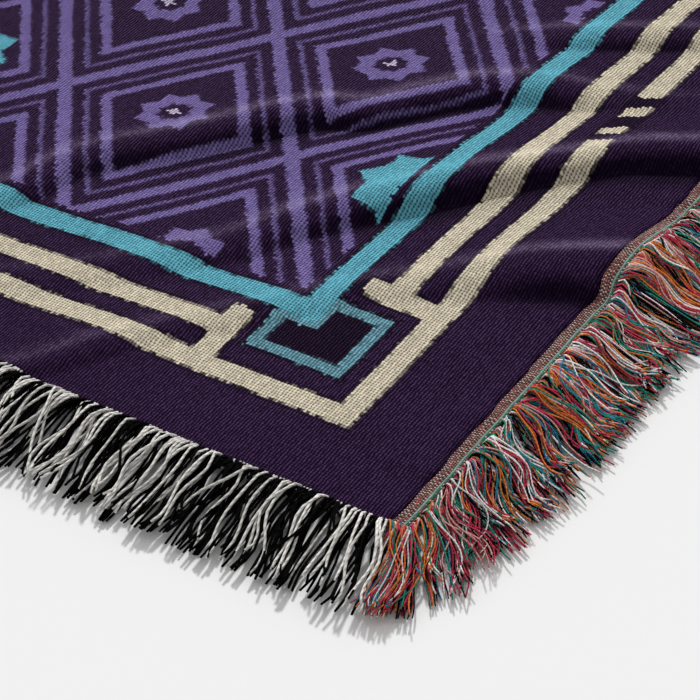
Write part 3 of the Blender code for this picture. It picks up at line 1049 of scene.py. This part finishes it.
class ThrowClothSettings(bpy.types.PropertyGroup):
    """Sizes and colours of the woven cloth."""

    thickness: size_setting("Thickness", "Thickness of the cloth", CLOTH)
    rib: size_setting("Rib", "Width of one woven rib", 0.001385)
    pick: size_setting("Stitch", "Length of one stitch along a rib", 0.00134)
    relief: size_setting("Relief", "How far the stitches stand up", 0.00015)
    fine_step: size_setting("Fine step", "Size of the faces at the folded corner", 0.003)
    coarse_step: size_setting("Coarse step", "Size of the faces far from it", 0.0145)
    gloss: bpy.props.FloatProperty(name="Gloss", description="Gloss of the stitches", default=0.012, min=0.0, max=1.0)
    glow: colour_setting("Glow", "Tint of the gloss", (0.75, 0.42, 1.0))
    ground: colour_setting("Ground", "Stitches of the aubergine ground", (0.042, 0.0185, 0.062))
    # Painted highlight: the colours that the ground and the lavender take along the fold crests
    painted_highlight: colour_setting("Bloom", "Raised fibres of the ground on the crests", (0.150, 0.105, 0.185))
    pale_painted_highlight: colour_setting("Pale bloom", "Raised fibres of the lavender on the crests", (0.420, 0.380, 0.560))
    outline: colour_setting("Outline", "Ground beside the lines", (0.010, 0.004, 0.014))
    gap: colour_setting("Gaps", "Dark warp between the stitches", (0.0035, 0.0010, 0.0065))
    lavender: colour_setting("Lavender", "Lines of the trellis", (0.200, 0.150, 0.380))
    teal: colour_setting("Teal", "Inner frame and stars", (0.135, 0.460, 0.580))
    thin_teal: colour_setting("Pale teal", "Thin rings in the corners", (0.160, 0.360, 0.440))
    cream: colour_setting("Cream", "Double border lines", (0.720, 0.640, 0.490))
    spark: colour_setting("Sparks", "Small pale points in the trellis", (0.560, 0.500, 0.680))


class ThrowWeftSettings(bpy.types.PropertyGroup):
    """Sizes and colours of the thick cords past the short sides."""

    pitch: size_setting("Pitch", "Room that each cord has", 0.00145)
    radius: size_setting("Radius", "Half the thickness of a cord", 0.00056)
    pale_share: bpy.props.FloatProperty(
        name="Off-white", description="Share of the upper cords that are off-white", default=0.43, min=0.0, max=1.0
    )
    black: colour_setting("Black", "Black cords", (0.0030, 0.0026, 0.0030))
    white: colour_setting("Off-white", "Off-white cords", (0.800, 0.775, 0.735))


class ThrowWarpSettings(bpy.types.PropertyGroup):
    """Sizes and colours of the fine yarns past the long sides."""

    radius: size_setting("Radius", "Half the thickness of a yarn", 0.00035)
    crimson: colour_setting("Crimson", "Crimson yarn", (0.500, 0.045, 0.085))
    white: colour_setting("White", "White yarn", (0.850, 0.800, 0.780))
    green: colour_setting("Green", "Emerald yarn", (0.025, 0.260, 0.180))
    blue: colour_setting("Blue", "Azure yarn", (0.035, 0.210, 0.320))
    orange: colour_setting("Orange", "Orange yarn", (0.700, 0.200, 0.045))
    rose: colour_setting("Rose", "Rose yarn", (0.700, 0.360, 0.330))
    black: colour_setting("Black", "Black yarn", (0.006, 0.005, 0.008))

    def dyes(self):
        """The dyes, in the order of UNDER_SHARES and OVER_SHARES."""
        return self.crimson, self.white, self.green, self.blue, self.orange, self.rose, self.black


class ThrowHeadingSettings(bpy.types.PropertyGroup):
    """Sizes and colours of the narrow woven bands."""

    row: size_setting("Row", "Width of one row of stitches", 0.00088)
    column: size_setting("Stitch", "Length of one stitch", 0.00070)
    brown: colour_setting("Brown", "Brown stitches", (0.150, 0.060, 0.055))
    pink: colour_setting("Pink", "Pink stitches", (0.500, 0.270, 0.240))
    pale: colour_setting("Pale", "Pale stitches", (0.660, 0.520, 0.470))
    red: colour_setting("Red", "Red stitches", (0.360, 0.080, 0.080))
    thread: colour_setting("Thread", "Pale green thread", (0.300, 0.500, 0.430))
    green: colour_setting("Green", "Green stitches", (0.050, 0.220, 0.130))


SENSOR = 36.0  # the camera's width, in millimetres
LENS = 2500 / 700 * SENSOR


class ThrowStageSettings(bpy.types.PropertyGroup):
    """The floor, the lights and the camera."""

    floor: colour_setting("Floor", "Colour of the floor", (0.88, 0.88, 0.88))
    key: bpy.props.FloatProperty(name="Key light", description="Strength of the light from behind", default=2.45, min=0)
    key_width: bpy.props.FloatProperty(
        name="Key width", description="How wide the light looks", default=math.radians(6), subtype="ANGLE"
    )
    key_height: bpy.props.FloatProperty(
        name="Key height", description="Height of the light over the horizon", default=math.radians(37), subtype="ANGLE"
    )
    fill: bpy.props.FloatProperty(name="Fill", description="Strength of the light all round", default=0.53, min=0)
    focal: bpy.props.FloatProperty(name="Lens", description="Focal length in millimetres", default=LENS)


# ---- Stage


# The camera, from the tip of the outer cream line at the photographed corner.
CAMERA_FROM_TIP = (0.40718, -0.55965, 0.59516)
CAMERA_RIGHT = (0.8349, 0.5477, -0.0554)
CAMERA_UP = (-0.3088, 0.5493, 0.7765)
CAMERA_BACK = (0.4557, -0.6311, 0.6277)


def set_stage(scene, settings):
    """A pale floor, a soft light from behind the blanket, an even fill, and the camera."""
    for name in ("floor", "key", "camera"):
        clear_piece(name)
    made = bmesh.new()
    bmesh.ops.create_grid(made, x_segments=1, y_segments=1, size=6.0)
    mesh = bpy.data.meshes.new("floor")
    made.to_mesh(mesh)
    made.free()
    nodes = Nodes("pale_floor")
    nodes.shader.inputs["Base Color"].default_value = settings.floor
    nodes.shader.inputs["Roughness"].default_value = 0.9
    nodes.shader.inputs["Specular IOR Level"].default_value = 0.2
    mesh.materials.append(nodes.material)
    floor = bpy.data.objects.new("floor", mesh)
    scene.collection.objects.link(floor)

    key_light = bpy.data.lights.new("key", "SUN")
    key_light.energy = settings.key
    key_light.angle = settings.key_width
    key = bpy.data.objects.new("key", key_light)
    level = math.cos(settings.key_height)
    toward = Vector((KEY_SIDE[0] * level, KEY_SIDE[1] * level, math.sin(settings.key_height)))
    key.rotation_euler = toward.to_track_quat("Z", "Y").to_euler()
    scene.collection.objects.link(key)

    world = scene.world or bpy.data.worlds.new("studio")
    scene.world = world
    world.use_nodes = True
    background = world.node_tree.nodes["Background"]
    background.inputs[0].default_value = (1.0, 1.0, 1.0, 1.0)
    background.inputs[1].default_value = settings.fill
    scene.view_settings.view_transform = "Standard"

    lens = bpy.data.cameras.new("camera")
    lens.lens = settings.focal
    lens.sensor_width = SENSOR
    lens.clip_start = 0.02
    camera = bpy.data.objects.new("camera", lens)
    turn = Matrix((CAMERA_RIGHT, CAMERA_UP, CAMERA_BACK)).transposed().to_4x4()
    turn.translation = Vector((HALF_X - CREAM_IN_X, -HALF_Y + CREAM_IN_Y, CLOTH)) + Vector(CAMERA_FROM_TIP)
    camera.matrix_world = turn
    scene.collection.objects.link(camera)
    scene.camera = camera


# ---- Operators


class THROW_OT_stage(bpy.types.Operator):
    """Set up the floor, the lights and the camera"""

    bl_idname = "throw.stage"
    bl_label = "Stage"

    def execute(self, context):
        set_stage(context.scene, context.scene.throw_stage)
        return {"FINISHED"}


class THROW_OT_cloth(bpy.types.Operator):
    """Weave the cloth on its folds"""

    bl_idname = "throw.cloth"
    bl_label = "Cloth"

    def execute(self, context):
        weave_cloth(context.scene.throw_cloth)
        return {"FINISHED"}


class THROW_OT_headings(bpy.types.Operator):
    """Lay the narrow woven bands along the four sides"""

    bl_idname = "throw.headings"
    bl_label = "Headings"

    def execute(self, context):
        band = heading_material("heading_weave", context.scene.throw_heading)
        bound = bound_material("bound_edge", context.scene.throw_weft)
        heading("heading_right", "warp_fringe_right", "warp_yarn", RIGHT, YARN_HEADING, band)
        heading("heading_left", "warp_fringe_left", "warp_yarn", LEFT, YARN_HEADING, band)
        heading("bound_foot", "weft_fringe_foot", "weft_cord", FOOT, CORD_HEADING, bound)
        heading("bound_head", "weft_fringe_head", "weft_cord", HEAD, CORD_HEADING, bound)
        return {"FINISHED"}


class THROW_OT_weft_fringe(bpy.types.Operator):
    """Lay out the black and off-white cords past the two short sides"""

    bl_idname = "throw.weft_fringe"
    bl_label = "Cord fringes"

    def execute(self, context):
        settings = context.scene.throw_weft
        weft_fringe("cords_foot", "weft_fringe_foot", FOOT, seed=21, rings=10, sides=5, settings=settings)
        weft_fringe("cords_head", "weft_fringe_head", HEAD, seed=22, rings=8, sides=4, settings=settings)
        return {"FINISHED"}


NEAR_YARNS = 0.36  # how far from the photographed corner the right side's yarns are at their densest


class THROW_OT_warp_fringe(bpy.types.Operator):
    """Lay out the many-coloured yarns past the two long sides"""

    bl_idname = "throw.warp_fringe"
    bl_label = "Yarn fringes"

    def execute(self, context):
        settings = context.scene.throw_warp
        middle = -HALF_Y + NEAR_YARNS
        for name, node, side, seed, span, per_metre, rings in (
            ("yarns_right_near", "warp_fringe_right", RIGHT, 31, (-HALF_Y, middle), 5200, 16),
            ("yarns_right_far", "warp_fringe_right", RIGHT, 32, (middle, HALF_Y), 2250, 10),
            ("yarns_left", "warp_fringe_left", LEFT, 33, (-HALF_Y, HALF_Y), 2050, 8),
        ):
            warp_fringe(name, node, side, seed, span, per_metre, rings, settings)
        return {"FINISHED"}


class THROW_PT_panel(bpy.types.Panel):
    """Lists the steps that build the blanket"""

    bl_idname = "THROW_PT_panel"
    bl_label = "Tapestry throw"
    bl_space_type = "VIEW_3D"
    bl_region_type = "UI"
    bl_category = "Throw"

    def draw(self, context):
        for operator, group in STEPS:
            box = self.layout.box()
            box.operator(operator.bl_idname)
            settings = getattr(context.scene, group)
            for setting in settings.bl_rna.properties.keys():
                if setting not in {"rna_type", "name"}:
                    box.prop(settings, setting)


GROUPS = (
    ("throw_cloth", ThrowClothSettings),
    ("throw_heading", ThrowHeadingSettings),
    ("throw_weft", ThrowWeftSettings),
    ("throw_warp", ThrowWarpSettings),
    ("throw_stage", ThrowStageSettings),
)
STEPS = (
    (THROW_OT_stage, "throw_stage"),
    (THROW_OT_cloth, "throw_cloth"),
    (THROW_OT_headings, "throw_heading"),
    (THROW_OT_weft_fringe, "throw_weft"),
    (THROW_OT_warp_fringe, "throw_warp"),
)


def register():
    for name, group in GROUPS:
        bpy.utils.register_class(group)
        setattr(bpy.types.Scene, name, bpy.props.PointerProperty(type=group))
    for operator, _ in STEPS:
        bpy.utils.register_class(operator)
    bpy.utils.register_class(THROW_PT_panel)


def unregister():
    bpy.utils.unregister_class(THROW_PT_panel)
    for operator, _ in reversed(STEPS):
        bpy.utils.unregister_class(operator)
    for name, group in reversed(GROUPS):
        delattr(bpy.types.Scene, name)
        bpy.utils.unregister_class(group)


def main():
    register()
    for step in ("stage", "cloth", "headings", "weft_fringe", "warp_fringe"):
        getattr(bpy.ops.throw, step)()


if __name__ == "__main__":
    main()
